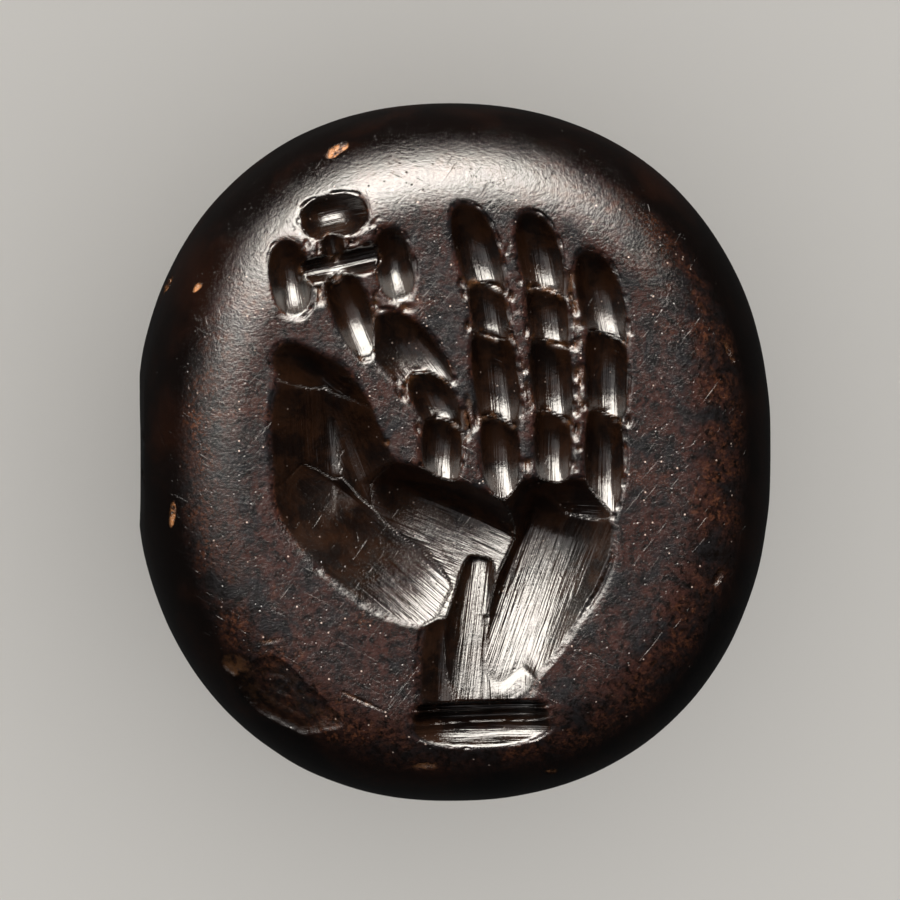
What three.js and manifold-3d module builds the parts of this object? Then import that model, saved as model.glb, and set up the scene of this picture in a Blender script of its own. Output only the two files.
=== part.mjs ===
// Pierced dome stamp seal of dark stone, an open hand holding a flower cut into its flat face.
// Millimetres. The seal lies on its domed back with the engraved face up.
// Origin: middle of the small flat spot under the dome. +Z up to the face, +Y along the hand to the
// fingertips, X along the bore that takes the cord.

import * as THREE from 'three';
import { mergeVertices } from 'three/addons/utils/BufferGeometryUtils.js';
import Module from 'manifold-3d';

const wasm = await Module();
wasm.setup();

// Body
const HEIGHT = 10.4;             // flat spot to engraved face
const GIRTH_HEIGHT = 6.2;        // height of the widest outline
const GIRTH_LENGTH = 14.55;      // widest outline along Y
const GIRTH_WIDTH = 13.3;        // widest outline along X, before the two side flats
const GIRTH_SQUARENESS = 2.2;    // 2 would be a plain oval; a little more fills out its corners
const OVER_FLATS = 13.05;        // across the side flats the bore comes out of
const SHOULDER_INSET = 2.1;      // from the widest outline in to where the face starts to fall
const SHOULDER_START = 1.85;     // how softly the face turns into the shoulder; 2 would be an ellipse
const SHOULDER_FULLNESS = 3.4;   // how full the shoulder stays down to the girth; 2 would be an ellipse
const REST_SPOT_DIAMETER = 3.4;  // flat spot the dome rests on
const OUTLINE_STEPS = 64;
const SHOULDER_STEPS = 9;
const DOME_STEPS = 9;

// Bore
const BORE_DIAMETER = 2.7;
const BORE_HEIGHT = 4.9;         // bore's axis above the flat spot
const MOUTH_DIAMETER = 3.7;      // worn mouth, measured on the side flat
const MOUTH_DEPTH = 0.9;         // how far in the wear reaches
const BORE_STEPS = 28;

// Hand. Places and widths on the face are in hundredths of the hand's length, from the foot of the
// wrist up to the fingertips and across to the little finger. Depths are in millimetres.
const HAND_LENGTH = 10.3;        // foot of the wrist to the tip of the middle finger
const WRIST_FOOT = [0.415, -4.95]; // place on the face of the foot of the wrist
const JOINT_OVERLAP = 4.0;       // how far each finger cut runs past its joint
const JOINT_LEAN = 0.42;          // how far over to one side each joint leans
const CUT_STEPS = 18;            // corners round one cut
const CUT_LIFT = 1.5;            // how far a cutter stands above the face

const FINGERS = [
  {
    name: 'middle',
    line: [[-4.2, 100.0], [-0.4, 83.7], [1.0, 73.4], [2.4, 56.7], [2.8, 40.6]],
    widths: [8.9, 7.6, 9.5, 8.0],
    depths: [0.44, 0.42, 0.50, 0.50],
  },
  {
    name: 'ring',
    line: [[9.0, 98.3], [11.7, 82.5], [12.5, 72.4], [13.3, 57.7], [12.7, 42.3]],
    widths: [8.9, 8.5, 8.7, 7.8],
    depths: [0.46, 0.42, 0.48, 0.48],
  },
  {
    name: 'little',
    line: [[20.9, 90.5], [23.9, 74.0], [23.7, 57.9], [22.9, 37.4]],
    widths: [9.1, 8.9, 8.2],
    depths: [0.48, 0.46, 0.48],
  },
  {
    name: 'index',
    line: [[-22.3, 78.4], [-12.5, 65.2], [-8.7, 56.5], [-9.7, 42.7]],
    widths: [12.1, 8.5, 8.5],
    depths: [0.34, 0.42, 0.50],
    deepSide: -0.5,
  },
];

// A cut: its two ends, its width and its depth. `square` is how square its outline is, `along` and
// `across` how flat its floor is, `deepAlong` and `deepAcross` where its deepest place lies (-1 to 1),
// `wall` how steep its sides are, `taper` how much it narrows, `lean` how far it is slanted.
const THUMB = [
  { from: [-42.3, 71.2], to: [-24.1, 56.3], width: 9.7, depth: 0.60, square: 2.5, deepAcross: -0.25 },
  {
    from: [-35.0, 69.3], to: [-32.2, 33.0], width: 19.4, depth: 0.85,
    square: 2.4, along: 2.6, across: 1.3, deepAcross: -0.3,
  },
  {
    from: [-33.8, 68.3], to: [-17.6, 26.0], width: 14.3, depth: 0.88,
    along: 2.6, across: 1.8, wall: 2.2,
  },
];

const PALM = [
  {
    from: [-40.2, 48.0], to: [-5.7, 19.4], width: 24.0, depth: 0.90,
    along: 6.0, across: 1.1, deepAcross: -0.28,
  },
  {
    from: [-32.6, 40.4], to: [12.1, 22.3], width: 28.5, depth: 1.14,
    square: 2.6, along: 3.0, across: 1.5, deepAcross: -0.55, wall: 2.6,
  },
  {
    from: [17.1, 43.6], to: [1.0, 1.2], width: 22.4, depth: 1.15,
    square: 2.6, along: 1.7, deepAlong: -0.5, deepAcross: 0.42, wall: 1.6, taper: 0.36,
  },
  {
    from: [2.8, 40.2], to: [25.3, 39.8], width: 10.8, depth: 0.74,
    square: 2.8, deepAcross: 0.8, wall: 2.2,
  },
];

const WRIST = [
  {
    from: [0.4, 17.4], to: [0.4, -0.4], width: 18.6, depth: 0.63,
    square: 4.0, along: 1.0, across: 6.0, deepAlong: -0.97, wall: 4.0,
  },
  {
    from: [-0.2, 30.8], to: [-5.1, -2.0], width: 12.4, depth: 1.10,
    square: 2.6, along: 1.0, across: 3.0, deepAlong: -0.85, deepAcross: 0.15, wall: 5.0,
  },
  {
    from: [-8.6, 19.0], to: [-9.7, -4.5], width: 9.6, depth: 0.22,
    square: 3.0, along: 6.0, across: 3.0, wall: 0.5,
  },
];

const BRACELET = [
  { from: [-14.5, -0.9], to: [11.9, -0.3], width: 2.6, depth: 0.48, square: 3.0, along: 5.0 },
  { from: [-15.1, -3.0], to: [12.5, -2.1], width: 4.4, depth: 0.60, square: 3.0, along: 5.0 },
  { from: [-14.9, -4.9], to: [12.9, -4.2], width: 8.4, depth: 0.44, square: 2.2, along: 3.0 },
];

const FLOWER = [
  { from: [-37.2, 95.8], to: [-23.6, 98.8], width: 8.8, depth: 0.56, square: 2.6 },
  { from: [-40.2, 92.8], to: [-38.0, 77.3], width: 8.5, depth: 0.52, square: 2.4 },
  { from: [-20.0, 95.2], to: [-17.2, 80.3], width: 7.8, depth: 0.50, square: 2.4 },
  {
    from: [-40.6, 85.3], to: [-18.1, 90.3], width: 5.4, depth: 0.42,
    square: 3.0, along: 4.0, across: 3.0,
  },
  { from: [-31.4, 96.2], to: [-29.0, 80.1], width: 5.2, depth: 0.36, square: 3.0, along: 4.0 },
  { from: [-30.8, 88.5], to: [-23.5, 69.3], width: 7.8, depth: 0.50, across: 2.8 },
];

// Old chips on the edge of the face and the shoulder: place on the plan, length, width, depth, turn.
const CHIPS = [
  { at: [-3.75, -4.75], long: 1.9, wide: 1.3, depth: 0.30, turn: -35 },
  { at: [-5.70, 3.45], long: 0.9, wide: 0.6, depth: 0.16, turn: 60 },
  { at: [-2.65, 6.45], long: 0.8, wide: 0.5, depth: 0.14, turn: 20 },
  { at: [5.30, -2.40], long: 0.7, wide: 0.5, depth: 0.14, turn: 70 },
];

function outlineRadius(angle, inset = 0) {
  const x = Math.abs(Math.cos(angle)) / (GIRTH_WIDTH / 2);
  const y = Math.abs(Math.sin(angle)) / (GIRTH_LENGTH / 2);
  return (x ** GIRTH_SQUARENESS + y ** GIRTH_SQUARENESS) ** (-1 / GIRTH_SQUARENESS) - inset;
}

// Height of the shoulder from the edge of the face (out = 0) to the widest outline (out = 1).
function shoulderHeight(out) {
  const rise = Math.max(0, 1 - out ** SHOULDER_START) ** (1 / SHOULDER_FULLNESS);
  return GIRTH_HEIGHT + (HEIGHT - GIRTH_HEIGHT) * rise;
}

// Rings of the body from the flat spot up over the girth and the rounded shoulder to the face.
function bodyRings() {
  const rings = [];
  const restShare = REST_SPOT_DIAMETER / (GIRTH_WIDTH + GIRTH_LENGTH) * 2;
  const domeDepth = GIRTH_HEIGHT / Math.sqrt(1 - restShare * restShare);
  const lowest = Math.asin(GIRTH_HEIGHT / domeDepth);
  for (let i = 0; i < DOME_STEPS; i++) {
    const turn = lowest * (1 - i / DOME_STEPS);
    const share = Math.cos(turn);
    rings.push({ z: GIRTH_HEIGHT - domeDepth * Math.sin(turn), share, inset: 0 });
  }
  rings[0].z = 0;
  for (let i = 0; i <= SHOULDER_STEPS; i++) {
    const out = Math.cos((Math.PI / 2) * (i / SHOULDER_STEPS));
    rings.push({ z: shoulderHeight(out), share: 1, inset: SHOULDER_INSET * (1 - out) });
  }
  return rings;
}

function bodyGeometry() {
  const rings = bodyRings();
  const points = [];
  const faces = [];
  for (const ring of rings) {
    for (let j = 0; j < OUTLINE_STEPS; j++) {
      const angle = (2 * Math.PI * j) / OUTLINE_STEPS;
      const radius = outlineRadius(angle, ring.inset) * ring.share;
      points.push(radius * Math.cos(angle), radius * Math.sin(angle), ring.z);
    }
  }
  for (let i = 0; i + 1 < rings.length; i++) {
    for (let j = 0; j < OUTLINE_STEPS; j++) {
      const a = i * OUTLINE_STEPS + j;
      const b = i * OUTLINE_STEPS + (j + 1) % OUTLINE_STEPS;
      faces.push(a, b, b + OUTLINE_STEPS, a, b + OUTLINE_STEPS, a + OUTLINE_STEPS);
    }
  }
  const bottom = points.length / 3;
  points.push(0, 0, 0, 0, 0, HEIGHT);
  const lastRing = (rings.length - 1) * OUTLINE_STEPS;
  for (let j = 0; j < OUTLINE_STEPS; j++) {
    const next = (j + 1) % OUTLINE_STEPS;
    faces.push(bottom, next, j);
    faces.push(bottom + 1, lastRing + j, lastRing + next);
  }
  return indexed(points, faces);
}

function indexed(points, faces) {
  const geometry = new THREE.BufferGeometry();
  geometry.setAttribute('position', new THREE.Float32BufferAttribute(points, 3));
  geometry.setIndex(faces);
  return geometry;
}

// Height of the body's upper surface over a place on the plan.
function upperSurface(x, y) {
  const edge = outlineRadius(Math.atan2(y, x));
  const out = Math.max(0, Math.hypot(x, y) - (edge - SHOULDER_INSET)) / SHOULDER_INSET;
  return shoulderHeight(Math.min(out, 1));
}

function onFace([x, y]) {
  const unit = HAND_LENGTH / 100;
  return [WRIST_FOOT[0] + x * unit, WRIST_FOOT[1] + y * unit];
}

// Stretch a place in a cut so that its deepest point, at `deep`, becomes 0 and its edges stay at 1.
function fromDeepest(place, deep) {
  return place > deep ? (place - deep) / (1 - deep) : (place - deep) / (1 + deep);
}

// Depth of a cut at u along it and v across it, both from -1 to 1, v as a share of the width there.
function cutDepth(cut, u, v, halfWidth) {
  const { depth, along = 2.0, across = 2.0, deepAlong = 0, deepAcross = 0, wall = 9.0, square = 2.3 } = cut;
  const alongShare = Math.abs(fromDeepest(u, deepAlong)) ** along;
  const acrossShare = Math.abs(fromDeepest(v, deepAcross)) ** across;
  const bowl = depth * (1 - alongShare) * (1 - acrossShare);
  const half = (1 - Math.abs(u) ** square) ** (1 / square);
  return Math.min(bowl, half * (1 - Math.abs(v)) * halfWidth * wall);
}

// Closed cutter for one cut: rings of points from the middle of its floor out over its edge, then up.
// Its depth is taken from the surface right above, so that a cut near the shoulder follows the slope.
function cutter(cut) {
  const { square = 2.3, taper = 0, lean = 0 } = cut;
  const [x0, y0] = onFace(cut.from);
  const [x1, y1] = onFace(cut.to);
  const halfLength = Math.hypot(x1 - x0, y1 - y0) / 2;
  const halfWidth = (cut.width * HAND_LENGTH) / 200;
  const ux = (x1 - x0) / (2 * halfLength);
  const uy = (y1 - y0) / (2 * halfLength);
  const shares = [0.4, 0.7, 0.88, 0.97, 1.04];
  const points = [];
  const faces = [];
  const place = (u, v, above, lift = 0) => {
    const a = u * halfLength - lean * v * halfWidth;
    const b = v * halfWidth * (1 - taper * u);
    const x = (x0 + x1) / 2 + a * ux + b * uy;
    const y = (y0 + y1) / 2 + a * uy - b * ux;
    points.push(x, y, lift ? HEIGHT + lift : upperSurface(x, y) + above);
  };
  const floorAt = (share, angle) => {
    const u = share * Math.sign(Math.cos(angle)) * Math.abs(Math.cos(angle)) ** (2 / square);
    const v = share * Math.sign(Math.sin(angle)) * Math.abs(Math.sin(angle)) ** (2 / square);
    const half = (1 - Math.min(Math.abs(u), 0.9999) ** square) ** (1 / square);
    const sideShare = Math.max(-1, Math.min(1, v / half));
    return { u, v, depth: share > 1 ? 0 : cutDepth(cut, u, sideShare, halfWidth) };
  };
  const middle = floorAt(0, 0);
  place(0, 0, -middle.depth);
  const [outermost, lastBelow] = [shares.at(-1), shares.at(-2)];
  const climb = (outermost - 1) / (1 - lastBelow);
  for (const share of shares) {
    for (let j = 0; j < CUT_STEPS; j++) {
      const angle = (2 * Math.PI * (j + 0.5)) / CUT_STEPS;
      const spot = floorAt(share, angle);
      const above = share > 1 ? floorAt(lastBelow, angle).depth * climb : -spot.depth;
      place(spot.u, spot.v, above);
    }
  }
  for (let j = 0; j < CUT_STEPS; j++) {
    const spot = floorAt(outermost, (2 * Math.PI * (j + 0.5)) / CUT_STEPS);
    place(spot.u, spot.v, 0, CUT_LIFT);
  }
  place(0, 0, 0, CUT_LIFT);
  const rings = shares.length + 1;
  const top = 1 + rings * CUT_STEPS;
  for (let j = 0; j < CUT_STEPS; j++) {
    const next = (j + 1) % CUT_STEPS;
    faces.push(0, 1 + j, 1 + next);
    for (let ring = 0; ring + 1 < rings; ring++) {
      const a = 1 + ring * CUT_STEPS;
      const b = a + CUT_STEPS;
      faces.push(a + j, b + j, b + next, a + j, b + next, a + next);
    }
    const last = 1 + (rings - 1) * CUT_STEPS;
    faces.push(top, last + next, last + j);
  }
  return indexed(points, faces);
}

// The cuts of one finger, joint by joint from its tip, each running a little past its joint.
function fingerCuts({ line, widths, depths, deepSide = 0 }) {
  const cuts = [];
  for (let i = 0; i + 1 < line.length; i++) {
    const [x0, y0] = line[i];
    const [x1, y1] = line[i + 1];
    const length = Math.hypot(x1 - x0, y1 - y0);
    const before = i === 0 ? 0 : JOINT_OVERLAP / length;
    const after = i + 2 === line.length ? 0 : JOINT_OVERLAP / length;
    cuts.push({
      from: [x0 - (x1 - x0) * before, y0 - (y1 - y0) * before],
      to: [x1 + (x1 - x0) * after, y1 + (y1 - y0) * after],
      width: widths[i],
      depth: depths[i],
      square: 2.5,
      across: 2.7,
      lean: JOINT_LEAN,
      deepAlong: i === 0 ? -0.1 : 0,
      deepAcross: i === 0 ? deepSide : 0,
    });
  }
  return cuts;
}

function boreGeometry() {
  const reach = OVER_FLATS / 2;
  const beyond = 1.0;
  const slope = (MOUTH_DIAMETER - BORE_DIAMETER) / 2 / MOUTH_DEPTH;
  const wide = MOUTH_DIAMETER / 2 + slope * beyond;
  const profile = [
    new THREE.Vector2(0, -reach - beyond),
    new THREE.Vector2(wide, -reach - beyond),
    new THREE.Vector2(BORE_DIAMETER / 2, -reach + MOUTH_DEPTH),
    new THREE.Vector2(BORE_DIAMETER / 2, reach - MOUTH_DEPTH),
    new THREE.Vector2(wide, reach + beyond),
    new THREE.Vector2(0, reach + beyond),
  ];
  const geometry = new THREE.LatheGeometry(profile, BORE_STEPS);
  geometry.rotateZ(Math.PI / 2);
  geometry.translate(0, 0, BORE_HEIGHT);
  return geometry;
}

// A chip scoops a shallow faceted hollow out of the body's upper surface.
function chipGeometry({ at, long, wide, depth, turn }) {
  const geometry = new THREE.IcosahedronGeometry(1, 1);
  geometry.scale(long / 2, wide / 2, depth);
  const radial = Math.atan2(at[1], at[0]);
  const step = 0.05;
  const x = at[0];
  const y = at[1];
  const slope = (upperSurface(x - step * Math.cos(radial), y - step * Math.sin(radial))
    - upperSurface(x + step * Math.cos(radial), y + step * Math.sin(radial))) / (2 * step);
  geometry.rotateZ(THREE.MathUtils.degToRad(turn) - radial);
  geometry.rotateY(Math.atan(slope));
  geometry.rotateZ(radial);
  geometry.translate(x, y, upperSurface(x, y));
  return geometry;
}

function solidOf(geometry) {
  geometry.deleteAttribute('normal');
  geometry.deleteAttribute('uv');
  const merged = mergeVertices(geometry, 1e-5);
  return new wasm.Manifold(new wasm.Mesh({
    numProp: 3,
    vertProperties: new Float32Array(merged.attributes.position.array),
    triVerts: new Uint32Array(merged.index.array),
  }));
}

function geometryOf(solid) {
  const mesh = solid.getMesh();
  const geometry = indexed(Array.from(mesh.vertProperties), Array.from(mesh.triVerts));
  geometry.computeVertexNormals();
  return geometry;
}

const acrossFlats = new THREE.BoxGeometry(OVER_FLATS, GIRTH_LENGTH * 2, HEIGHT * 3);
let seal = solidOf(bodyGeometry()).intersect(solidOf(acrossFlats));
seal = seal.subtract(solidOf(boreGeometry()));

const cuts = [...FINGERS.flatMap(fingerCuts), ...THUMB, ...PALM, ...WRIST, ...BRACELET, ...FLOWER];
for (const cut of cuts) {
  seal = seal.subtract(solidOf(cutter(cut)));
}
for (const chip of CHIPS) {
  seal = seal.subtract(solidOf(chipGeometry(chip)));
}

const stone = new THREE.MeshStandardMaterial({ color: 0x2e1a14, roughness: 0.25, metalness: 0.0 });
const mesh = new THREE.Mesh(geometryOf(seal), stone);
mesh.name = 'seal';

const group = new THREE.Group();
group.name = 'stamp_seal';
group.add(mesh);

export default group;
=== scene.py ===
# %% [markdown]
# # A pierced stamp seal of dark stone
# The real thing is a small domed bead of polished red-brown stone. A cord ran through its bore, and its
# flat face was pressed into clay. The face is hollow-cut with small wheels, and shows an open hand that
# holds a flower. The frame gives the solid and its place: the seal lies on its back, face up.

import math

import bpy
import numpy as np
from mathutils import Matrix, Vector


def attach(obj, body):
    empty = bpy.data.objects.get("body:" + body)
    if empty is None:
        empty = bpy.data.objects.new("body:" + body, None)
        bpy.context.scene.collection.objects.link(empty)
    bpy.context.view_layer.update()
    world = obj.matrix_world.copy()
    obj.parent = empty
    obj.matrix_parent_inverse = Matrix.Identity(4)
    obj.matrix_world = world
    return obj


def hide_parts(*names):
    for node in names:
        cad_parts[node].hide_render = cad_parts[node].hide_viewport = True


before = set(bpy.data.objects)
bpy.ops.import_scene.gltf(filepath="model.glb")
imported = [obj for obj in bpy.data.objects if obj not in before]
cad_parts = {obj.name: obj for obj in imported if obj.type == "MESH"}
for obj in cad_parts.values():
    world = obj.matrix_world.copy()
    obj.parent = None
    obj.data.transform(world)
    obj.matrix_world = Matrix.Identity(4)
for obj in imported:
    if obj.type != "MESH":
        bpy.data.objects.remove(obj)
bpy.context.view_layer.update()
MM = 0.001

# %% [markdown]
# ## Sizes
# These are the same sizes as the solid's, in millimetres, so that the dressed stone fills exactly the
# space that the solid holds. Places in the carving are in hundredths of the hand's length.

# %% Sizes of the stone, its bore and its carving
HEIGHT, GIRTH_HEIGHT = 10.4, 6.2
GIRTH_WIDTH, GIRTH_LENGTH, OVER_FLATS = 13.3, 14.55, 13.05
SQUARENESS = 2.2
SHOULDER_INSET, SHOULDER_START, SHOULDER_FULLNESS = 2.1, 1.85, 3.4
REST_SPOT = 3.4
BORE_DIAMETER, BORE_HEIGHT, MOUTH_DIAMETER, MOUTH_DEPTH = 2.7, 4.9, 3.7, 0.9
HAND_LENGTH, WRIST_FOOT, JOINT_OVERLAP, JOINT_LEAN = 10.3, (0.415, -4.95), 4.0, 0.42
RIM_SLOPE, RIM_SOFTNESS, DEEPEST_MISS = 1.2, 0.13, -0.4
print("stone", OVER_FLATS, "by", GIRTH_LENGTH, "by", HEIGHT, "mm")

# %% [markdown]
# An operator works on all that is selected, so every step first lets go of everything and then takes
# what it needs. The stone is worked out in millimetres, and kept in metres.


# %% Helpers for taking an object and moving its points
def let_go():
    if bpy.context.mode != "OBJECT":
        bpy.ops.object.mode_set(mode="OBJECT")
    bpy.ops.object.select_all(action="DESELECT")


def take(obj):
    let_go()
    obj.select_set(True)
    bpy.context.view_layer.objects.active = obj


def read_each(items, what):
    """A vector of each vertex or face of a mesh, as rows of x, y and z."""
    values = np.empty(len(items) * 3, np.float32)
    items.foreach_get(what, values)
    return values.reshape(-1, 3).astype(float)


def points_of(obj):
    return read_each(obj.data.vertices, "co") / MM


def put_points(obj, places):
    obj.data.vertices.foreach_set("co", (places * MM).astype(np.float32).ravel())
    obj.data.update()


print("helpers work in", MM, "m")

# %% [markdown]
# Hand-ground stone is never quite even. A smooth random field, made from a seeded table so that each
# run gives the same stone, is used wherever the surface wavers, is bruised or is chipped.

# %% A smooth random field
TABLE_SIDE = 32
random_table = np.random.default_rng(7).random((TABLE_SIDE, TABLE_SIDE, TABLE_SIDE)) * 2 - 1


def waver(places, size, shift=0.0):
    """Random field from -1 to 1 at places in mm, with lumps about `size` mm wide."""
    spot = places / size + shift
    cell = np.floor(spot).astype(int)
    part = spot - cell
    part = part * part * (3 - 2 * part)
    total = 0.0
    for corner in np.ndindex(2, 2, 2):
        share = np.prod(np.where(np.array(corner) == 1, part, 1 - part), axis=1)
        at = (cell + np.array(corner)) % TABLE_SIDE
        total = total + share * random_table[at[:, 0], at[:, 1], at[:, 2]]
    return total


def smooth_most(a, b, soft):
    """The larger of a and b, with the corner between them rounded over `soft`."""
    share = np.clip(0.5 + 0.5 * (a - b) / soft, 0, 1)
    return b + (a - b) * share + soft * share * (1 - share)


def nearness(value, middle, spread):
    """1 where value is middle, falling to 0 a few spreads away."""
    return np.exp(-(((value - middle) / spread) ** 2))


print("field at the origin:", round(float(waver(np.zeros((1, 3)), 1.0)[0]), 3))

# %% [markdown]
# ## The stone blank
# A sphere would bunch its faces at two poles, one of them in the middle of the carving. A cube cut
# into a fine grid and blown up into the dome keeps its faces square and even, so it is the better
# start: each grid point's direction from the middle says how far round the profile it goes.

# %% Add the cube and cut it into a grid
GRID_CUTS = 53
bpy.ops.mesh.primitive_cube_add(size=1.0, location=(0, 0, HEIGHT / 2 * MM))
stone = bpy.context.active_object
stone.name = stone.data.name = "seal_stone"
stone.scale = (OVER_FLATS * MM, GIRTH_LENGTH * MM, HEIGHT * MM)
take(stone)
bpy.ops.object.transform_apply(location=True, rotation=True, scale=True)
bpy.ops.object.mode_set(mode="EDIT")
bpy.ops.mesh.select_all(action="SELECT")
bpy.ops.mesh.subdivide(number_cuts=GRID_CUTS)
bpy.ops.object.mode_set(mode="OBJECT")
mesh = stone.data
print("grid faces:", len(mesh.polygons))

# %% [markdown]
# The profile runs from the middle of the flat face over the rounded shoulder to the girth, and down
# the dome to the spot that the stone lies on. The upper surface is a function of the plan, because the
# carving later sinks from it, and the rest is worked out from the angle off straight up.

# %% The profile: flat face, rounded shoulder, dome, rest spot
FACE_END, SHOULDER_END, DOME_END = (math.radians(v) for v in (46, 93, 168))


def outline_radius(angle):
    x, y = np.abs(np.cos(angle)) / (GIRTH_WIDTH / 2), np.abs(np.sin(angle)) / (GIRTH_LENGTH / 2)
    return (x**SQUARENESS + y**SQUARENESS) ** (-1 / SQUARENESS)


def upper_surface(x, y):
    edge = outline_radius(np.arctan2(y, x))
    share = np.clip((np.hypot(x, y) - (edge - SHOULDER_INSET)) / SHOULDER_INSET, 0, 1)
    rise = (1 - share**SHOULDER_START) ** (1 / SHOULDER_FULLNESS)
    return GIRTH_HEIGHT + (HEIGHT - GIRTH_HEIGHT) * rise


def on_dome(way):
    """Place on the stone, in mm, in the direction `way` from its middle."""
    way = way / np.linalg.norm(way, axis=1, keepdims=True)
    angle = np.arctan2(way[:, 1], way[:, 0])
    polar = np.arccos(np.clip(way[:, 2], -1, 1))
    edge = outline_radius(angle)
    rest = REST_SPOT / (GIRTH_WIDTH + GIRTH_LENGTH) * 2
    deep = GIRTH_HEIGHT / math.sqrt(1 - rest * rest)
    lowest = math.asin(GIRTH_HEIGHT / deep)
    rise = np.clip((SHOULDER_END - polar) / (SHOULDER_END - FACE_END), 0, 1) * math.pi / 2
    fall = np.clip((polar - SHOULDER_END) / (DOME_END - SHOULDER_END), 0, 1) * lowest
    last = np.clip((math.pi - polar) / (math.pi - DOME_END), 0, 1)
    radius = (edge - SHOULDER_INSET * (1 - np.cos(rise))) * np.cos(fall)
    radius = np.where(polar < FACE_END, (edge - SHOULDER_INSET) * polar / FACE_END, radius)
    radius = np.where(polar > DOME_END, edge * rest * last, radius)
    x, y = radius * np.cos(angle), radius * np.sin(angle)
    height = np.where(polar < SHOULDER_END, upper_surface(x, y), GIRTH_HEIGHT - deep * np.sin(fall))
    height = np.where(polar > DOME_END, 0.0, height)
    return np.stack([x, y, height], axis=1)


print("face radius:", round(float(outline_radius(0.0) - SHOULDER_INSET), 2), "mm on the right")

# %% [markdown]
# The tangent of the grid's place evens out the faces, which would otherwise bunch at the cube's
# corners. The two sides are then ground flat, where the bore comes out, with a soft edge.

# %% Blow the grid up into the dome
FLAT_SOFTNESS = 0.12
grid = points_of(stone)
grid[:, 2] -= HEIGHT / 2
way = np.tan(grid / (np.array([OVER_FLATS, GIRTH_LENGTH, HEIGHT]) / 2) * (math.pi / 4))
blank = on_dome(way)
side = -smooth_most(-np.abs(blank[:, 0]), np.full(len(blank), -OVER_FLATS / 2), FLAT_SOFTNESS)
blank[:, 0] = np.sign(blank[:, 0]) * np.minimum(side, OVER_FLATS / 2)
put_points(stone, blank)
print("blank spans", (blank.max(axis=0) - blank.min(axis=0)).round(2), "mm")

# %% [markdown]
# ## The bore
# The cord's hole was drilled from both sides and worn wide at its mouths. A cylinder whose two ends
# are drawn out and opened in steps is the shape to take away. A Boolean cuts it cleanly, and a curved
# mouth needs no bevel afterwards.

# %% The drill's straight part
bpy.ops.mesh.primitive_cylinder_add(
    vertices=72, radius=BORE_DIAMETER / 2 * MM, depth=(OVER_FLATS - 2 * MOUTH_DEPTH) * MM,
    location=(0, 0, BORE_HEIGHT * MM), rotation=(0, math.pi / 2, 0))
drill = bpy.context.active_object
take(drill)
bpy.ops.object.transform_apply(location=True, rotation=True, scale=True)
print("drill faces:", len(drill.data.polygons))

# %% Open its two ends
MOUTH_STEPS, DRILL_SPARE = 6, 0.6


def mouth_radius(share):
    """Radius of a mouth, from the bore's own at share 0 to the full opening at share 1."""
    opened = 1 - math.sqrt(1 - min(share, 1) ** 2)
    return BORE_DIAMETER / 2 + (MOUTH_DIAMETER - BORE_DIAMETER) / 2 * opened


def draw_out(side, reach, wider):
    """Extrude the drill's end on one side by reach mm, and widen it."""
    take(drill)
    end = max(side * point.co.x for point in drill.data.vertices)
    for group in (drill.data.polygons, drill.data.edges, drill.data.vertices):
        group.foreach_set("select", np.zeros(len(group), bool))
    for cap in drill.data.polygons:
        cap.select = side * cap.normal.x > 0.9 and side * cap.center.x > end - 1e-7
    bpy.ops.object.mode_set(mode="EDIT")
    bpy.ops.mesh.select_mode(type="FACE")
    bpy.ops.mesh.extrude_region_move(TRANSFORM_OT_translate={"value": (side * reach * MM, 0, 0)})
    bpy.ops.transform.resize(value=(1, wider, wider), center_override=(0, 0, BORE_HEIGHT * MM))
    bpy.ops.object.mode_set(mode="OBJECT")


for side in (-1, 1):
    for step in range(MOUTH_STEPS):
        share = (step + 1) / MOUTH_STEPS
        draw_out(side, MOUTH_DEPTH / MOUTH_STEPS, mouth_radius(share) / mouth_radius(step / MOUTH_STEPS))
    draw_out(side, DRILL_SPARE, 1.0)
print("drill faces with both mouths:", len(drill.data.polygons))

# %% Drill the stone
drilling = stone.modifiers.new("bore", "BOOLEAN")
drilling.object = drill
drilling.operation = "DIFFERENCE"
drilling.solver = "MANIFOLD"
take(stone)
bpy.ops.object.modifier_apply(modifier="bore")
bpy.data.objects.remove(drill)
print("stone faces after drilling:", len(mesh.polygons))

# %% [markdown]
# ## The carving
# The engraver sank each finger, petal and bracelet line with a small turning wheel, so each cut is a
# boat-shaped hollow. Cutting each with a Boolean would leave hard, poor meshes. Instead the face gets a
# fine grid where the carving is, and every grid point is sunk by the deepest wheel that reaches it.
# A cut is given by its start and end, its width, all in hundredths of the hand, and its depth in mm.


# %% Fingers
def cut(start, end, width, depth, **more):
    return {"start": start, "end": end, "width": width, "depth": depth, **more}


def finger_cuts(line, widths, depths, deep_side=0.0):
    """Cuts of one finger from its tip, each running a little past its joint."""
    made = []
    for i, (a, b) in enumerate(zip(line, line[1:])):
        way = np.subtract(b, a) / math.dist(a, b) * JOINT_OVERLAP
        start = np.subtract(a, way) if i else np.array(a)
        end = np.add(b, way) if i + 2 < len(line) else np.array(b)
        made.append(cut(start, end, widths[i], depths[i], square=2.5, across=2.7, lean=JOINT_LEAN,
                        deep_along=0 if i else -0.1, deep_across=0 if i else deep_side))
    return made


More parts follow.
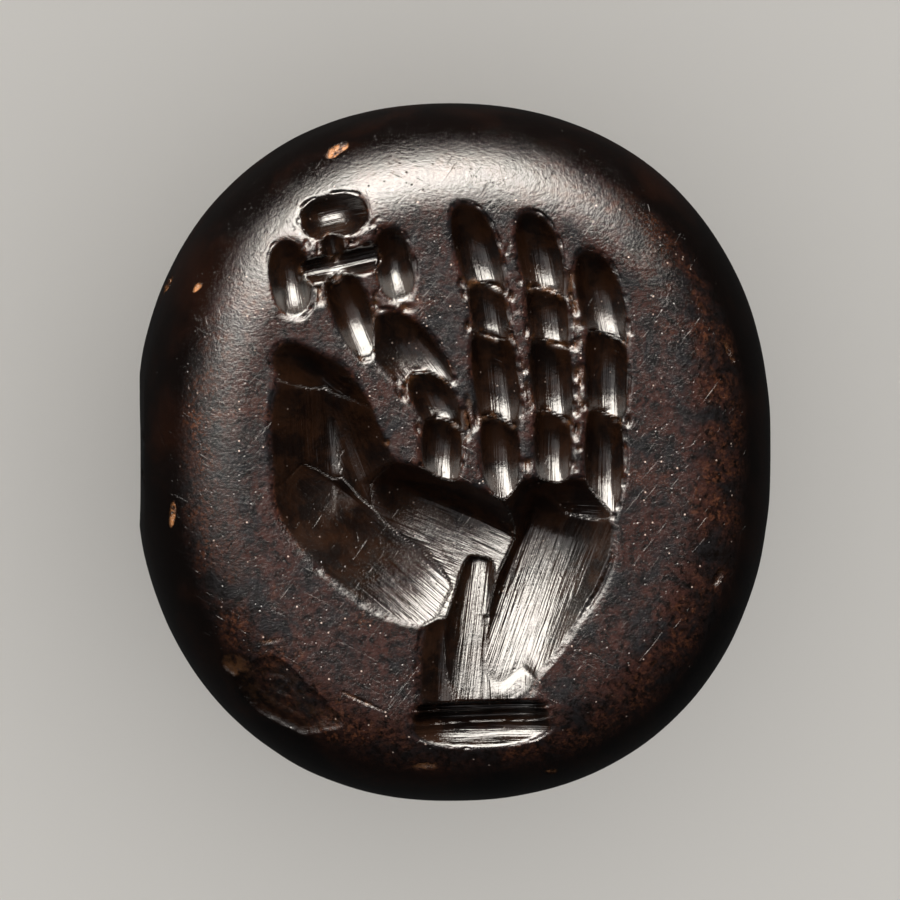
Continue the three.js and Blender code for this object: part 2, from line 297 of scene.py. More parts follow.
fingers = [
    *finger_cuts([(-4.2, 100.0), (-0.4, 83.7), (1.0, 73.4), (2.4, 56.7), (2.8, 40.6)],
                 (8.9, 7.6, 9.5, 8.0), (0.44, 0.42, 0.50, 0.50)),
    *finger_cuts([(9.0, 98.3), (11.7, 82.5), (12.5, 72.4), (13.3, 57.7), (12.7, 42.3)],
                 (8.9, 8.5, 8.7, 7.8), (0.46, 0.42, 0.48, 0.48)),
    *finger_cuts([(20.9, 90.5), (23.9, 74.0), (23.7, 57.9), (22.9, 37.4)],
                 (9.1, 8.9, 8.2), (0.48, 0.46, 0.48)),
    *finger_cuts([(-22.3, 78.4), (-12.5, 65.2), (-8.7, 56.5), (-9.7, 42.7)],
                 (12.1, 8.5, 8.5), (0.34, 0.42, 0.50), deep_side=-0.5),
]
print(len(fingers), "finger cuts")

# %% [markdown]
# The palm is no single bowl. Broad strokes fan out from the wrist, each deepest near its left wall and
# rising slowly to the right, so that they meet in low, soft ridges. `soft` rounds those ridges, and
# `lines` is the direction in degrees in which the wheel left its marks.

# %% Thumb and palm
thumb_and_palm = [
    cut((-42.3, 71.2), (-24.1, 56.3), 9.7, 0.60, square=2.5, deep_across=-0.25, soft=0.10),
    cut((-35.0, 69.3), (-32.2, 33.0), 19.4, 0.85, square=2.4, along=2.6, across=1.3,
        deep_across=-0.30, soft=0.25),
    cut((-33.8, 68.3), (-17.6, 26.0), 14.3, 0.88, along=2.6, across=1.8, wall=2.2, soft=0.25),
    cut((-40.2, 48.0), (-5.7, 19.4), 24.0, 0.90, along=6.0, across=1.1, deep_across=-0.28, soft=0.22,
        lines=-40),
    cut((-32.6, 40.4), (12.1, 22.3), 28.5, 1.14, square=2.6, along=3.0, across=1.5, deep_across=-0.55,
        wall=2.6, soft=0.30, lines=-24),
    cut((17.1, 43.6), (1.0, 1.2), 22.4, 1.15, square=2.6, along=1.7, deep_along=-0.5,
        deep_across=0.42, wall=1.6, taper=0.36, soft=0.12),
    cut((2.8, 40.2), (25.3, 39.8), 10.8, 0.74, square=2.8, deep_across=0.8, wall=2.2, soft=0.15),
]
print(len(thumb_and_palm), "cuts of the thumb and palm")

# %% Wrist, bracelet and flower
wrist = [
    cut((0.4, 17.4), (0.4, -0.4), 18.6, 0.63, square=4.0, along=1.0, across=6.0, deep_along=-0.97,
        wall=4.0, soft=0.16),
    cut((-0.2, 30.8), (-5.1, -2.0), 12.4, 1.10, square=2.6, along=1.0, across=3.0, deep_along=-0.85,
        deep_across=0.15, wall=5.0, soft=0.08),
    cut((-8.6, 19.0), (-9.7, -4.5), 9.6, 0.22, square=3.0, along=6.0, across=3.0, wall=0.5, soft=0.06),
]
bracelet = [
    cut((-14.5, -0.9), (11.9, -0.3), 2.6, 0.48, square=3.0, along=5.0),
    cut((-15.1, -3.0), (12.5, -2.1), 4.4, 0.60, square=3.0, along=5.0),
    cut((-14.9, -4.9), (12.9, -4.2), 8.4, 0.44, square=2.2, along=3.0),
]
flower = [
    cut((-37.2, 95.8), (-23.6, 98.8), 8.8, 0.56, square=2.6),
    cut((-40.2, 92.8), (-38.0, 77.3), 8.5, 0.52, square=2.4),
    cut((-20.0, 95.2), (-17.2, 80.3), 7.8, 0.50, square=2.4),
    cut((-40.6, 85.3), (-18.1, 90.3), 5.4, 0.42, square=3.0, along=4.0, across=3.0),
    cut((-31.4, 96.2), (-29.0, 80.1), 5.2, 0.36, square=3.0, along=4.0),
    cut((-30.8, 88.5), (-23.5, 69.3), 7.8, 0.50, across=2.8),
]
cuts = fingers + thumb_and_palm + wrist + bracelet + flower
print(len(cuts), "wheel cuts in all")

# %% [markdown]
# One formula gives every cut's floor. Its outline is an oval, squarer or rounder by `square`. The floor
# rises from the deepest line to the rim, steeply at first if `along` or `across` is high, and the rim's
# wall is never steeper than `wall`. Outside the outline the depth goes on below zero, as a distance
# would, so that a softened maximum can round the worn rim.


# %% Depth of one cut
def from_deepest(place, deep):
    return np.where(place > deep, (place - deep) / (1 - deep), (place - deep) / (1 + deep))


def sink(x, y, start, end, width, depth, square=2.3, along=2.0, across=2.0, deep_along=0.0,
         deep_across=0.0, wall=9.0, taper=0.0, lean=0.0, soft=0.0, lines=None):
    """Depth of a cut over places x, y in mm, and how far each lies across and along its lines."""
    unit = HAND_LENGTH / 100
    x0, y0 = WRIST_FOOT[0] + start[0] * unit, WRIST_FOOT[1] + start[1] * unit
    x1, y1 = WRIST_FOOT[0] + end[0] * unit, WRIST_FOOT[1] + end[1] * unit
    half_length, half_width = math.hypot(x1 - x0, y1 - y0) / 2, width * unit / 2
    ux, uy = (x1 - x0) / (2 * half_length), (y1 - y0) / (2 * half_length)
    dx, dy = x - (x0 + x1) / 2, y - (y0 + y1) / 2
    u = (dx * ux + dy * uy) / half_length
    v = (dx * uy - dy * ux) / half_width
    u = u + lean * v * half_width / half_length
    held = np.clip(u, -0.9999, 0.9999)
    v = v / (1 - taper * held)
    half = (1 - np.abs(held) ** square) ** (1 / square)
    side = np.clip(v / np.maximum(half, 1e-3), -1.5, 1.5)
    bowl = depth * (1 - np.abs(from_deepest(held, deep_along)) ** along)
    bowl = bowl * (1 - np.abs(from_deepest(side, deep_across)) ** across)
    bowl = np.minimum(bowl, (half - np.abs(v)) * half_width * wall)
    ring = (np.abs(u) ** square + np.abs(v) ** square) ** (1 / square)
    beyond = -np.hypot(dx, dy) * (1 - 1 / np.maximum(ring, 1)) * RIM_SLOPE
    bowl = np.maximum(np.where(ring < 1, bowl, beyond), DEEPEST_MISS)
    turn = math.atan2(uy, ux) if lines is None else math.radians(lines)
    return bowl, dy * math.cos(turn) - dx * math.sin(turn), dx * math.cos(turn) + dy * math.sin(turn)


# %% Depth of all cuts together
CUT_SOFTNESS, PALM_SOFTNESS = 0.022, 0.02
LINES_APART = 3.7


def carve(places, shapes):
    """Joined depth, deepest cut, second depth, and the wheel lines' coordinates for each place."""
    x, y = places[:, 0], places[:, 1]
    most, next_most, joined, palm = (np.full(len(x), DEEPEST_MISS) for _ in range(4))
    lines = np.zeros((len(x), 3))
    for number, shape in enumerate(shapes):
        depth, over, along = sink(x, y, **shape)
        deeper = depth > most
        next_most = np.where(deeper, most, np.maximum(next_most, depth))
        most = np.maximum(most, depth)
        lines[deeper] = np.stack([over, along, np.full(len(x), number * LINES_APART)], axis=1)[deeper]
        if shape.get("soft"):
            palm = smooth_most(palm, depth, shape["soft"])
        else:
            joined = smooth_most(joined, depth, CUT_SOFTNESS)
    joined = smooth_most(joined, palm, PALM_SOFTNESS)
    return joined, most, next_most, lines


middle_of_palm = np.array([[0.0, -1.5, HEIGHT]])
print("depth in the palm:", round(float(carve(middle_of_palm, cuts)[0][0]), 2), "mm")

# %% [markdown]
# ## Chips
# The edge of the face has lost flakes. A flake leaves a shallow bowl with a sharp, ragged rim and
# ripples in it. It is measured in space and not on the plan, so it keeps its shape on the slope.

# %% Flakes lost from the shoulder and the face
flakes = [  # place on the plan, length, width, depth, turn in degrees, how bright the break is
    (-3.85, -4.70, 2.0, 1.35, 0.19, -35, 0.012), (-4.75, -4.15, 0.9, 0.5, 0.10, 10, 0.05),
    (-2.95, -5.25, 1.0, 0.45, 0.09, -20, 0.02), (-5.98, 3.55, 0.46, 0.16, 0.07, 60, 0.45),
    (-5.48, 3.62, 0.26, 0.14, 0.05, 40, 0.40), (-2.60, 6.42, 0.62, 0.18, 0.07, 34, 0.50),
    (-6.02, -1.10, 0.62, 0.12, 0.05, 84, 0.40), (5.46, 2.25, 0.5, 0.12, 0.06, -62, 0.10),
    (5.20, -2.42, 0.42, 0.20, 0.08, 60, 0.06), (-0.80, -6.27, 0.6, 0.16, 0.08, 5, 0.22),
    (1.84, -6.45, 0.24, 0.14, 0.06, 0, 0.25), (-1.73, 0.42, 0.26, 0.20, 0.10, 20, 0.15),
    (-2.20, -4.85, 0.9, 0.07, 0.04, -25, 0.10), (-4.05, -3.62, 0.7, 0.06, 0.03, 12, 0.10),
]
RIPPLE, RIPPLES = 0.07, 17


def flake_depth(places, at_x, at_y, long, wide, deep, turn):
    """Depth of a flake's bowl at each place, and 1 inside it, 0 outside."""
    height = float(upper_surface(np.array(at_x), np.array(at_y)))
    away = places - np.array([at_x, at_y, height])
    a = math.radians(turn)
    u = (away[:, 0] * math.cos(a) + away[:, 1] * math.sin(a)) / (long / 2)
    v = (away[:, 1] * math.cos(a) - away[:, 0] * math.sin(a)) / (wide / 2)
    w = away[:, 2] / (max(long, wide) * 0.55)
    ragged = 0.30 * waver(places, max(long, wide) * 0.32, at_x) + 0.05 / long * waver(places, 0.09, at_y)
    share = np.sqrt(u * u + v * v + w * w) + ragged
    bowl = deep * np.sqrt(np.clip(1 - share**2, 0, 1))
    return bowl * (1 + RIPPLE * np.sin(share * RIPPLES)), np.clip((1.0 - share) * 6, 0, 1)


print(len(flakes), "flakes")

# %% [markdown]
# ## Cutting the face
# Only the faces that a cut or a flake reaches are made finer, which keeps the piece light. A face is
# taken if its middle, or a point a little way off in any of eight directions, is near enough to a cut.

# %% Give the carved part of the face a fine grid
FINE_CUTS, LOOK_ROUND, DIRECTIONS = 4, 0.14, 8
FLAKE_SHARE, FLAKE_MARGIN = 0.62, 0.1
FINE_ABOVE = GIRTH_HEIGHT + 0.8
take(stone)
centres = read_each(mesh.polygons, "center") / MM
near = carve(centres, cuts)[0] > -RIM_SOFTNESS
for turn in range(DIRECTIONS):
    angle = turn * 2 * math.pi / DIRECTIONS
    step = LOOK_ROUND * np.array([math.cos(angle), math.sin(angle), 0])
    near |= carve(centres + step, cuts)[0] > -RIM_SOFTNESS
for at_x, at_y, long, wide, *_ in flakes:
    from_flake = np.hypot(centres[:, 0] - at_x, centres[:, 1] - at_y)
    near |= from_flake < max(long, wide) * FLAKE_SHARE + FLAKE_MARGIN
near &= centres[:, 2] > FINE_ABOVE
mesh.vertices.foreach_set("select", np.zeros(len(mesh.vertices), bool))
mesh.edges.foreach_set("select", np.zeros(len(mesh.edges), bool))
mesh.polygons.foreach_set("select", near)
bpy.ops.object.mode_set(mode="EDIT")
bpy.ops.mesh.select_mode(type="FACE")
bpy.ops.mesh.subdivide(number_cuts=FINE_CUTS)
bpy.ops.object.mode_set(mode="OBJECT")
print("faces to carve:", int(near.sum()), "then", len(mesh.polygons), "faces")

# %% Sink the carving
UPPER_ABOVE = GIRTH_HEIGHT + 0.6
places = points_of(stone)
upper = places[:, 2] > UPPER_ABOVE
surface = upper_surface(places[:, 0], places[:, 1])
places[upper, 2] = surface[upper]
joined, first_deep, second_deep, lines = carve(places, cuts)
hollow = np.where(upper, smooth_most(joined, np.zeros(len(places)), RIM_SOFTNESS), 0.0)
places[:, 2] -= hollow
put_points(stone, places)
print("deepest cut", round(float(hollow.max()), 2), "mm")

# %% [markdown]
# ## Wear
# Stone is lost square to the surface, so every kind of wear adds to one depth, and the points move in
# once, along their normals. Each kind is a mask, such as the ridge between two cuts, times the random
# field, because chips follow the weak places but not evenly.

# %% Lose stone in the flakes
places = points_of(stone)
facing = read_each(mesh.vertices, "normal")
lost, fresh = np.zeros(len(places)), np.zeros(len(places))
for *flake, bright in flakes:
    deep, mark = flake_depth(places, *flake)
    lost, fresh = np.maximum(lost, deep), np.maximum(fresh, mark * bright)
print("points in a flake:", int((fresh > 0).sum()))

# %% [markdown]
# The ridge where two cuts meet is bruised, the rim of a finger has small nicks, more on its right side,
# and the thin strips of face between two neighbours are partly broken away.

# %% Bruise the ridges, nick the rims and break the strips
RIDGE_BRUISE, STRIP_BREAK = 0.11, 0.22
RIM_NICK, RIGHT_RIM_NICK = 0.03, 0.09
_, most, next_most, _ = carve(places, fingers + flower)
rough = waver(places, 0.19, 3.0) + 0.6 * waver(places, 0.11, 9.0)
ridge = np.clip(next_most / 0.10, 0, 1) * nearness(most, next_most, 0.07) * upper
lost = lost + RIDGE_BRUISE * ridge * np.clip(waver(places, 0.2, 4.0) + 0.4 * rough + 0.15, 0, 1)
rim = nearness(joined, -0.02, 0.05) * upper
of_finger = np.clip((most + 0.12) / 0.1, 0, 1)
right_side = np.clip(lines[:, 0] / 0.2, 0, 1) * of_finger
nicked = np.clip(rough + 0.25 * right_side, 0, 1)
lost = lost + rim * nicked * (RIM_NICK + RIGHT_RIM_NICK * right_side)
strip = nearness(most, -0.11, 0.13) * np.clip((next_most + 0.34) / 0.15, 0, 1) * upper
broken = strip * np.clip(waver(places, 0.31, 2.0) + 0.7 * waver(places, 0.15, 6.0) + 0.15, 0, 1)
lost = lost + STRIP_BREAK * broken
print("points in broken strips:", int((broken > 0.5).sum()))

# %% [markdown]
# Beside the little finger's heel the face is dished by wear, and off the face the hand-ground flanks
# swell and sink by a few hundredths of a millimetre. Last, the whole face is very slightly crowned.

# %% Dish the face, let the flanks waver and move the points
DISH_PLACE, DISH_RADIUS, DISH_DEPTH = (2.9, -2.6), 0.7, 0.13
LONG_WAVER, SHORT_WAVER, CROWN = 0.022, 0.010, 0.10
from_dish = np.hypot(places[:, 0] - DISH_PLACE[0], places[:, 1] - DISH_PLACE[1])
dished = nearness(from_dish, 0.0, DISH_RADIUS) * upper
lost = lost + DISH_DEPTH * dished * np.clip((joined + 0.4) / 0.4, 0, 1) ** 2 * (joined < 0.05)
outer = np.clip((HEIGHT - surface) / 1.2, 0, 1) * upper + ~upper
long_waver, short_waver = 1 + waver(places, 2.6, 1.0), 1 + waver(places, 0.8, 5.0)
lost = lost + outer * (LONG_WAVER * long_waver + SHORT_WAVER * short_waver)
places -= facing * lost[:, None]
from_middle = np.hypot(places[:, 0] / (GIRTH_WIDTH / 2), places[:, 1] / (GIRTH_LENGTH / 2))
places[:, 2] -= CROWN * np.clip(from_middle, 0, 1) ** 2 * upper
places[:, 2] = np.clip(places[:, 2], 0, HEIGHT)
put_points(stone, places)
print("most lost", round(float(lost.max()), 2), "mm")

# %% [markdown]
# The material has to know what each place is: inside a cut, on the worn face, or in a fresh break, and
# which way the wheel ran there. Mesh attributes carry that, because they follow the surface exactly.

# %% Keep what each place is as attributes
inside = np.clip(joined / 0.06, 0, 1) * upper * (1 - np.clip(fresh * 2, 0, 1))
face = np.clip(1 - (HEIGHT - surface) / 0.7, 0, 1) * upper * (1 - inside)
in_palm = np.clip((carve(places, thumb_and_palm + wrist)[1] - 0.3) / 0.2, 0, 1)
alone = np.clip((first_deep - second_deep) / 0.03, 0, 1) * inside * (1 + 0.7 * in_palm)
bruised = 0.10 * np.clip(ridge * (rough > 0.1) + 2 * broken, 0, 1)


def keep(name, values, kind="FLOAT"):
    kept = mesh.attributes.new(name, kind, "POINT")
    kept.data.foreach_set("vector" if kind == "FLOAT_VECTOR" else "value", values.astype(np.float32).ravel())


keep("wheel_lines", lines, "FLOAT_VECTOR")
keep("hollow", inside)
keep("fresh", np.maximum(fresh, bruised))
keep("face", face)
keep("line_depth", alone)
take(stone)
bpy.ops.object.shade_smooth()
print("attributes:", [a.name for a in mesh.attributes if not a.name.startswith(".")][:6])

# %% [markdown]
# ## The finish
# Polished dark stone shows its colour only where light goes in and comes back, so most of its look is
# gloss. Nodes are many and alike, so a few helpers set them up. Each effect is a node group with named
# sockets, which another stone could use again with other values.


# %% Helpers for node groups
def new_group(name, inputs, outputs):
    """A node group with named sockets: inputs is {name: (type, value)}, outputs is {name: type}."""
    group = bpy.data.node_groups.new(name, "ShaderNodeTree")
    for label, (kind, value) in inputs.items():
        made = group.interface.new_socket(label, in_out="INPUT", socket_type="NodeSocket" + kind)
        if value is not None:
            made.default_value = value
    for label, kind in outputs.items():
        group.interface.new_socket(label, in_out="OUTPUT", socket_type="NodeSocket" + kind)
    return group, group.nodes.new("NodeGroupInput").outputs, group.nodes.new("NodeGroupOutput").inputs


def fill(tree, socket, value):
    """Link another socket to this one, or give it a plain value."""
    if isinstance(value, bpy.types.NodeSocket):
        tree.links.new(value, socket)
    else:
        socket.default_value = value


def node(tree, kind, links=None, **settings):
    """A node with its properties set, and its sockets filled with values or with other sockets."""
    made = tree.nodes.new("ShaderNode" + kind)
    for name, value in settings.items():
        setattr(made, name, value)
    for name, value in (links or {}).items():
        fill(tree, made.inputs[name], value)
    return made.outputs


def use_group(tree, group, links):
    """A group placed in a material, with its sockets filled."""
    made = tree.nodes.new("ShaderNodeGroup")
    made.node_tree = group
    for name, value in links.items():
        fill(tree, made.inputs[name], value)
    return made.outputs


print("helpers for groups are ready")


# %% Helpers for common nodes
def maths(tree, what, a, b=0.0, c=0.0):
    return node(tree, "Math", {0: a, 1: b, 2: c}, operation=what)[0]


def ramp(tree, value, low, high, to_low=0.0, to_high=1.0):
    return node(tree, "MapRange", {"Value": value, "From Min": low, "From Max": high, "To Min": to_low,
                                   "To Max": to_high}, interpolation_type="SMOOTHSTEP")["Result"]


def noise(tree, place, scale, detail=3.0, roughness=0.55, distortion=0.0):
    return node(tree, "TexNoise", {"Vector": place, "Scale": scale, "Detail": detail,
                                   "Roughness": roughness, "Distortion": distortion})["Fac"]


def dots(tree, place, scale):
    """Distance from the nearest of many scattered points, and a random number for each point."""
    cells = node(tree, "TexVoronoi", {"Vector": place, "Scale": scale, "Randomness": 1.0})
    return cells["Distance"], node(tree, "SeparateColor", {"Color": cells["Color"]})[0]


def blend(tree, share, first, second):
    mix = tree.nodes.new("ShaderNodeMix")
    mix.data_type = "RGBA"
    for socket, value in ((mix.inputs[0], share), (mix.inputs[6], first), (mix.inputs[7], second)):
        fill(tree, socket, value)
    return mix.outputs[2]


print("helpers for nodes are ready")

# %% [markdown]
# Sard is dark until light finds a thin place: the body is nearly black with red-brown clouds, and the cuts
# are browner. That near-black body on the flanks and back is partly the stone's own dark colour and partly
# painted shade, darkened so that the room's even light leaves them looking unlit. The worn face has a faint
# grey veil, a reddish flush and specks of rust near its edge. All of it is noise at several scales on the
# object's own coordinates in mm, because the stone has no direction and a painted map would need seams.

# %% Clouded stone: its sockets
clouds, given, out = new_group(
    "clouded_stone",
    {"Place": ("Vector", None), "Body": ("Color", (0.0008, 0.0004, 0.0003, 1)),
     "Cloud_and_shade": ("Color", (0.0036, 0.0012, 0.0006, 1)), "Inside": ("Color", (0.0056, 0.0023, 0.0011, 1)),
     "Veil": ("Color", (0.0044, 0.0042, 0.0048, 1)), "Flush": ("Color", (0.0145, 0.0058, 0.0046, 1)),
     "Rust": ("Color", (0.050, 0.017, 0.007, 1)), "Painted_glints": ("Color", (0.20, 0.16, 0.14, 1)),
     "Worn": ("Float", 0.0), "Hollow": ("Float", 0.0), "Fresh": ("Float", 0.0)},
    {"Colour": "Color", "Dullness": "Float"})
DARK_VEIN, DARK_GRAIN = (0.0014, 0.0007, 0.0005, 1), (0.0008, 0.0006, 0.0005, 1)
DARK_BREAK, LIGHT_BREAK = (0.020, 0.008, 0.004, 1), (0.34, 0.15, 0.06, 1)


def patches(scale, low, high, detail=4.0, roughness=0.6, distortion=0.4):
    return ramp(clouds, noise(clouds, given["Place"], scale, detail, roughness, distortion), low, high)


def times(a, b):
    return maths(clouds, "MULTIPLY", a, b)


print("group:", clouds.name)

# %% Clouded stone: body, cuts and worn face
# Partly painted shade: the flanks and back take nearly black colours, darker than the face and the cuts, so
# that they look unlit under the room's even light.
body = blend(clouds, times(patches(0.42, 0.46, 0.70), 0.8), given["Body"], given["Cloud_and_shade"])
mottled = blend(clouds, patches(1.5, 0.38, 0.62, 5.0, 0.7), DARK_VEIN, given["Inside"])
sunk = blend(clouds, given["Hollow"], body, mottled)
veiled = blend(clouds, patches(1.3, 0.38, 0.58, 6.0, 0.72), given["Veil"], given["Flush"])
grained = blend(clouds, patches(6.5, 0.36, 0.60, 5.0, 0.78, 0.6), DARK_GRAIN, veiled)
near_edge = times(given["Worn"], maths(clouds, "SUBTRACT", 1.0, given["Worn"]))
specks = patches(11.0, 0.48, 0.62, 3.0, 0.7, 0.0)
rust_places = maths(clouds, "MULTIPLY_ADD", near_edge, 2.6, times(patches(0.7, 0.52, 0.68), 0.45))
rust = times(specks, times(rust_places, patches(1.3, 0.40, 0.62)))
worn = blend(clouds, given["Worn"], sunk, blend(clouds, rust, grained, given["Rust"]))
print("nodes so far:", len(clouds.nodes))

# %% Clouded stone: painted glints and fresh breaks
# Painted highlights: small pale specks, full on the worn face and fainter in the cuts, stand in for glints of
# light on the polish.
distance, lot = dots(clouds, given["Place"], 6.0)
painted_glints = times(ramp(clouds, distance, 0.06, 0.16, 1.0, 0.0), ramp(clouds, lot, 0.80, 0.84))
painted_glints = times(painted_glints, maths(clouds, "MULTIPLY_ADD", given["Hollow"], 0.25, given["Worn"]))
worn = blend(clouds, painted_glints, worn, given["Painted_glints"])
break_colour = blend(clouds, patches(5.0, 0.42, 0.60, 4.0, 0.7, 0.0), DARK_BREAK, LIGHT_BREAK)
clouds.links.new(blend(clouds, given["Fresh"], worn, break_colour), out["Colour"])
clouds.links.new(times(specks, given["Worn"]), out["Dullness"])
print("nodes in all:", len(clouds.nodes))

# %% [markdown]
# Handling left scratches in all directions, pits of two sizes, and a fine grain in the polish. None is
# deeper than a few thousandths of a millimetre, so a bump is right for them: they only break up the
# reflection. A scratch is noise stretched along one direction, of which only the peaks are kept.

# %% Scratches
marks, given, out = new_group(
    "handling_marks", {"Place": ("Vector", None), "Amount": ("Float", 1.0), "Grain": ("Float", 3.0)},
    {"Height": "Float"})
SCRATCH_TURNS = ((0.5, 13.0, 0.0), (-0.9, 16.0, 7.0), (1.35, 11.0, 13.0))
scratches = 0.0
for turn, across, shift in SCRATCH_TURNS:
    turned = node(marks, "VectorRotate", {"Vector": given["Place"], "Angle": turn}, rotation_type="Z_AXIS")[0]
    stretch = {"Vector": turned, "Location": (shift, 0, 0), "Scale": (0.8, across, 0.8)}
    line = ramp(marks, noise(marks, node(marks, "Mapping", stretch)[0], 1.0, 3.0, 0.6), 0.66, 0.76)
    scratches = maths(marks, "ADD", line, scratches)
print("scratch directions:", len(SCRATCH_TURNS))


# %% Pits, grain and the height that they make together
def pits(scale, share, size):
    """Small pits: the share of cells that has one, and its radius in cells."""
    distance, lot = dots(marks, given["Place"], scale)
    chosen = ramp(marks, lot, 1 - share, 1 - share + 0.04)
    return maths(marks, "MULTIPLY", ramp(marks, distance, 0.0, size, 1.0, 0.0), chosen)


grain = noise(marks, given["Place"], 12.0, 4.0, 0.72)
ripple = noise(marks, given["Place"], 2.2, 4.0, 0.55)
large_pits = maths(marks, "MULTIPLY", pits(4.0, 0.08, 0.16), 4.0)
pitted = maths(marks, "MULTIPLY_ADD", pits(9.0, 0.22, 0.26), 2.2, large_pits)
height = maths(marks, "MULTIPLY_ADD", ripple, 1.6, maths(marks, "MULTIPLY", grain, given["Grain"]))
height = maths(marks, "SUBTRACT", height, maths(marks, "MULTIPLY_ADD", scratches, 1.3, pitted))
marks.links.new(maths(marks, "MULTIPLY", height, given["Amount"]), out["Height"])
print("group:", marks.name)

# %% [markdown]
# Each cut's floor keeps fine parallel lines from the wheel. The attribute made above gives how far a
# place lies across and along them, so noise that is narrow across and long along draws them.

# %% Wheel lines
wheel, given, out = new_group(
    "wheel_lines", {"Lines": ("Vector", None), "Amount": ("Float", 1.0)}, {"Height": "Float"})
broad = node(wheel, "Mapping", {"Vector": given["Lines"], "Scale": (13.0, 0.55, 1.0)})[0]
fine = node(wheel, "Mapping", {"Vector": given["Lines"], "Scale": (34.0, 1.4, 1.0)})[0]
fine_lines = maths(wheel, "MULTIPLY", noise(wheel, fine, 1.0, 1.0, 0.5), 0.5)
height = maths(wheel, "ADD", noise(wheel, broad, 1.0, 2.0, 0.5), fine_lines)
wheel.links.new(maths(wheel, "MULTIPLY", height, given["Amount"]), out["Height"])
print("group:", wheel.name)

# %% [markdown]
# The three groups meet in one material. The two bumps are chained, the damage first and the wheel lines
# over it, and the roughness varies a little, because the polish is worn in some places.

# %% Stone material: colour
coat = bpy.data.materials.new("polished_dark_stone")
coat.use_nodes = True
tree = coat.node_tree
shader = tree.nodes["Principled BSDF"]
in_metres = node(tree, "TexCoord")["Object"]
place = node(tree, "VectorMath", {0: in_metres, 1: (1 / MM, 1 / MM, 1 / MM)}, operation="MULTIPLY")[0]
kept = {name: node(tree, "Attribute", attribute_name=name)
        for name in ("wheel_lines", "line_depth", "hollow", "fresh", "face")}
colour = use_group(tree, clouds, {"Place": place, "Worn": kept["face"]["Fac"],
                                  "Fresh": kept["fresh"]["Fac"], "Hollow": kept["hollow"]["Fac"]})
tree.links.new(colour["Colour"], shader.inputs["Base Color"])
shader.inputs["IOR"].default_value = 1.55
print("attributes read:", list(kept))

# %% Stone material: marks, lines and gloss
MARK_DEPTH, LINE_DEPTH = 0.0060, 0.0170
fewer_inside = ramp(tree, kept["hollow"]["Fac"], 0.0, 1.0, 1.0, 0.35)
amount = maths(tree, "MULTIPLY_ADD", kept["fresh"]["Fac"], 5.0, fewer_inside)
handled = use_group(tree, marks, {"Place": place, "Amount": amount})
cut_lines = use_group(tree, wheel, {"Lines": kept["wheel_lines"]["Vector"],
                                    "Amount": kept["line_depth"]["Fac"]})
marked = node(tree, "Bump", {"Height": handled["Height"], "Strength": 1.0, "Distance": MARK_DEPTH * MM})[0]
lined = node(tree, "Bump", {"Height": cut_lines["Height"], "Strength": 1.0, "Distance": LINE_DEPTH * MM,
                            "Normal": marked})[0]
tree.links.new(lined, shader.inputs["Normal"])
polish = ramp(tree, noise(tree, place, 1.1, 5.0, 0.7), 0.3, 0.7, 0.11, 0.21)
gloss = maths(tree, "ADD", polish, maths(tree, "MULTIPLY", colour["Dullness"], 0.10))
tree.links.new(gloss, shader.inputs["Roughness"])
stone.data.materials.clear()
stone.data.materials.append(coat)
print("materials:", [m.name for m in stone.data.materials])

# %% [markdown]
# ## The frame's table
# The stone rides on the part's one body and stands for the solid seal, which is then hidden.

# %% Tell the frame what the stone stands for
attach(stone, "root")
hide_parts("seal")
print(stone.name, "replaces the solid seal")

# %% [markdown]
# ## Floor, light and camera
# The seal lies on a plain pale floor. The floor isn't seen in the stone's gloss, because a pale floor
# mirrored in the flanks would wash out the darkness of the stone there.

# %% Floor
FLOOR_SIDE, FLOOR_COLOUR, FLOOR_ROUGHNESS = 0.8, (0.72, 0.70, 0.67, 1), 0.8
let_go()
bpy.ops.mesh.primitive_plane_add(size=FLOOR_SIDE, location=(0, 0, 0))
floor = bpy.context.active_object
floor.name = "floor"
pale = bpy.data.materials.new("pale_floor")
pale.use_nodes = True
pale_shader = pale.node_tree.nodes["Principled BSDF"]
pale_shader.inputs["Base Color"].default_value = FLOOR_COLOUR
pale_shader.inputs["Roughness"].default_value = FLOOR_ROUGHNESS
floor.data.materials.append(pale)
floor.visible_glossy = False
print("floor side:", FLOOR_SIDE, "m")

# %% [markdown]
# A gloss shows what it reflects, so the light is made of panels whose places are read off the stone: a
# wide, bright panel behind its upper edge gives the white band on the shoulder and the white floors of
# the cuts, a dim one overhead makes the flat face grey, and a small one on the left gives its sheen.

# %% Light panels
only_stone = bpy.data.collections.new("lit_by_panels")
only_stone.objects.link(stone)
PANEL_DISTANCE = 0.16


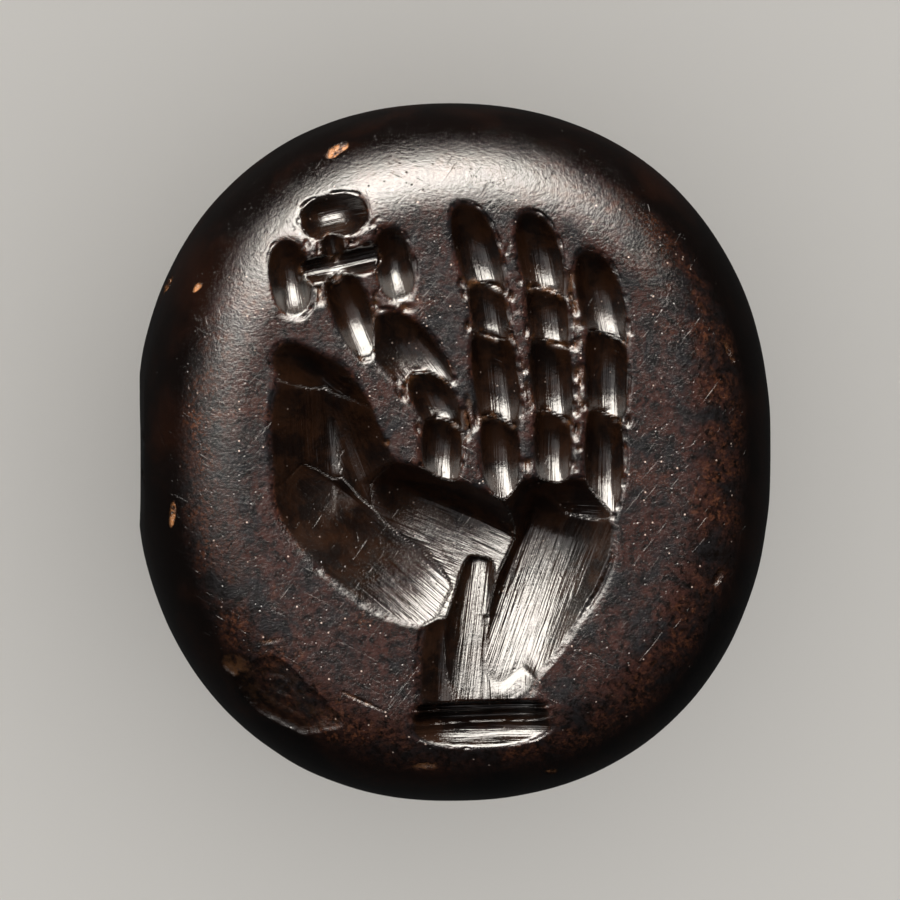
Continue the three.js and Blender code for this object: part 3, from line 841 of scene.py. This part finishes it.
def panel(name, azimuth, polar, width, height, radiance, colour):
    """A soft panel that shines on the stone alone, `polar` degrees off straight up."""
    light = bpy.data.lights.new(name, "AREA")
    light.shape, light.size, light.size_y = "RECTANGLE", width, height
    light.energy = radiance * math.pi * width * height
    light.color = colour
    lamp = bpy.data.objects.new(name, light)
    bpy.context.collection.objects.link(lamp)
    a, p = math.radians(azimuth), math.radians(polar)
    way = np.array([math.sin(p) * math.cos(a), math.sin(p) * math.sin(a), math.cos(p)])
    lamp.location = way * PANEL_DISTANCE + np.array([0, 0, HEIGHT * MM])
    lamp.rotation_euler = (p, 0, a + math.pi / 2)
    lamp.light_linking.receiver_collection = only_stone


panel("key_panel", 104, 56, 0.20, 0.135, 26.0, (1.0, 0.94, 0.86))
panel("overhead_panel", 130, 14, 0.13, 0.12, 0.66, (1.0, 0.96, 0.97))
panel("left_panel", 168, 48, 0.10, 0.12, 1.7, (1.0, 0.97, 0.93))

# %% [markdown]
# The room's even light is strong for the floor and weak in the gloss, so that the dark stone stays dark.

# %% Room light
ROOM_LIGHT, ROOM_IN_GLOSS = 0.85, 0.02
world = bpy.data.worlds.new("studio")
bpy.context.scene.world = world
world.use_nodes = True
sky = world.node_tree.nodes["Background"]
sky.inputs["Color"].default_value = (1.0, 0.99, 0.97, 1)
glossy = node(world.node_tree, "LightPath")["Is Glossy Ray"]
strength = node(world.node_tree, "MapRange", {"Value": glossy, "To Min": ROOM_LIGHT, "To Max": ROOM_IN_GLOSS})
world.node_tree.links.new(strength["Result"], sky.inputs["Strength"])
print("room light:", ROOM_LIGHT)

# %% [markdown]
# The photograph looks straight down on the face from a little to the upper left, with a long lens. The
# size of one of its pixels on the stone, in mm, gives the distance.

# %% Camera
PIXEL, FRAME_PIXELS, HALF_SENSOR = 0.0209, 900, 18
LEAN, LEAN_TO = math.radians(6.3), math.radians(141)
lens = bpy.data.cameras.new("camera")
lens.lens = 400
lens.clip_start, lens.clip_end = 0.01, 10
camera = bpy.data.objects.new("camera", lens)
bpy.context.collection.objects.link(camera)
bpy.context.scene.camera = camera
back = Vector((math.sin(LEAN) * math.cos(LEAN_TO), math.sin(LEAN) * math.sin(LEAN_TO), math.cos(LEAN)))
far = FRAME_PIXELS * PIXEL / 2 / math.tan(math.atan(HALF_SENSOR / lens.lens))
camera.location = (Vector((0, 0, GIRTH_HEIGHT)) + back * far) * MM
right = Vector((0, 1, 0)).cross(back).normalized()
camera.rotation_euler = Matrix((right, back.cross(right), back)).transposed().to_euler()
bpy.context.scene.view_settings.view_transform = "Standard"
print("camera", round(far, 1), "mm away")
